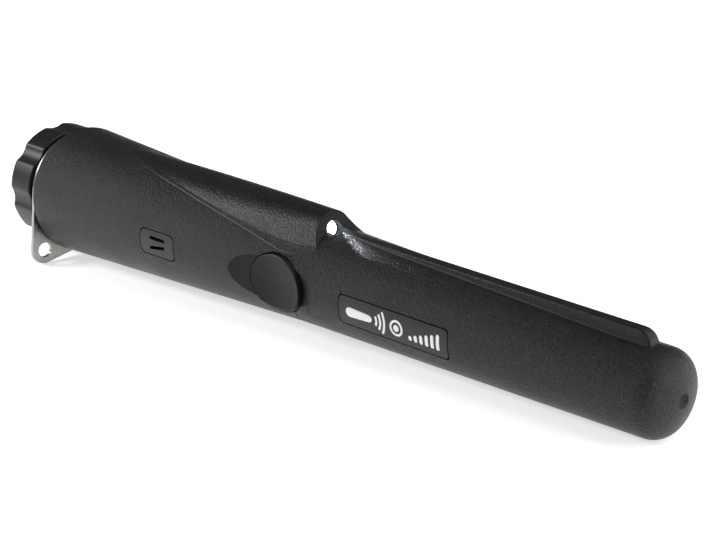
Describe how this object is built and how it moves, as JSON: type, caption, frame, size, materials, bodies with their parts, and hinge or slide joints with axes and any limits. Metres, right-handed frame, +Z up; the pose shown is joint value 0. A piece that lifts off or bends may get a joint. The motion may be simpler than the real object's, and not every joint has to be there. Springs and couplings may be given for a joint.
{
  "type": "pinpointer probe",
  "caption": "Hand-held metal-detecting pinpointer: tapered black wand with lamp hump, scraper blade, push button, lanyard ring and screw-on battery cap.",
  "frame": {"origin": "centre of the battery cap's flat end face", "axes": "+X along the wand from the battery cap to the sensing tip, +Z up to the lamp hump and scraper blade, the push button faces -Y"},
  "size_m": [0.2343, 0.0395, 0.04],
  "materials": {
    "housing_plastic": "fine spark-eroded texture",
    "inset_plastic": "smooth satin",
    "cap_plastic": "smooth satin",
    "button_rubber": "smooth matte rubber",
    "seal_rubber": "nitrile seal",
    "ring_steel": "tumbled stainless",
    "foam": "closed-cell foam",
    "battery_can": "printed battery jacket",
    "battery_wafer": "phenolic wafer",
    "nickel": "nickel plated",
    "board_laminate": "solder mask",
    "carrier_plastic": "natural nylon",
    "chip_plastic": "moulded epoxy",
    "capacitor_can": "drawn can",
    "resistor_ceramic": "glazed chips",
    "trimmer_plastic": "blue trimmer",
    "screw_steel": "zinc plated",
    "speaker_can": "moulded can",
    "motor_steel": "drawn steel",
    "tungsten": "sintered",
    "lamp_epoxy": "clear epoxy, lit",
    "tinned_lead": "tinned",
    "ferrite": "sintered ferrite",
    "former_plastic": "natural plastic",
    "enamelled_copper": "enamelled copper wire",
    "wire_red": "PVC insulation",
    "wire_black": "PVC insulation",
    "wire_white": "PVC insulation"
  },
  "bodies": {
    "wand": {"housing": "housing_plastic", "speaker_port_plate": "inset_plastic", "nameplate": "inset_plastic", "battery_case": "battery_can", "battery_end_plate": "battery_wafer", "battery_terminal_positive": "nickel", "battery_terminal_negative": "nickel", "contact_board": "board_laminate", "contact_spring_positive": "nickel", "contact_spring_negative": "nickel", "main_pcb": "board_laminate", "pcb_carrier": "carrier_plastic", "pcb_screws": "screw_steel", "microcontroller": "chip_plastic", "amplifier_chip": "chip_plastic", "filter_capacitors": "capacitor_can", "chip_resistors": "resistor_ceramic", "tuning_trimmer": "trimmer_plastic", "switch_body": "chip_plastic", "speaker": "speaker_can", "speaker_gasket": "foam", "vibration_motor": "motor_steel", "motor_clip": "carrier_plastic", "led_lamp": "lamp_epoxy", "led_leads": "tinned_lead", "led_holder": "seal_rubber", "ferrite_rod": "ferrite", "coil_bobbin": "former_plastic", "transmit_winding": "enamelled_copper", "receive_winding": "enamelled_copper", "coil_support": "former_plastic", "coil_cushion": "foam", "coil_leads": "wire_white", "battery_wires": "wire_red", "speaker_wires": "wire_black", "motor_wires": "wire_red"},
    "cap_travel": {"battery_pad": "foam"},
    "cap": {"battery_cap": "cap_plastic", "cap_o_ring": "seal_rubber"},
    "ring": {"lanyard_ring": "ring_steel"},
    "button": {"power_button": "button_rubber", "button_actuator": "carrier_plastic", "switch_plunger": "carrier_plastic"},
    "motor_rotor": {"motor_shaft": "motor_steel", "eccentric_weight": "tungsten"}
  },
  "joints": [
    {"name": "cap_slide", "type": "slide", "parent": "wand", "child": "cap_travel", "axis": [-1, 0, 0], "range_m": [0, 0.006]},
    {"name": "cap_turn", "type": "hinge", "parent": "cap_travel", "child": "cap", "pos_m": [0, 0, 0], "axis": [-1, 0, 0], "range_deg": [0, 720]},
    {"name": "ring_swivel", "type": "hinge", "parent": "cap_travel", "child": "ring", "pos_m": [0.01245, 0, 0], "axis": [1, 0, 0], "continuous": true},
    {"name": "button_press", "type": "slide", "parent": "wand", "child": "button", "axis": [0, 1, 0], "range_m": [0, 0.0005], "stiffness_N_per_m": 1500},
    {"name": "motor_spin", "type": "hinge", "parent": "wand", "child": "motor_rotor", "pos_m": [0.138, 0.0056, 0], "axis": [1, 0, 0], "continuous": true}
  ],
  "couplings": [
    {"joint": "cap_turn", "follows": "cap_slide", "rad_per_m": 2094.4}
  ]
}
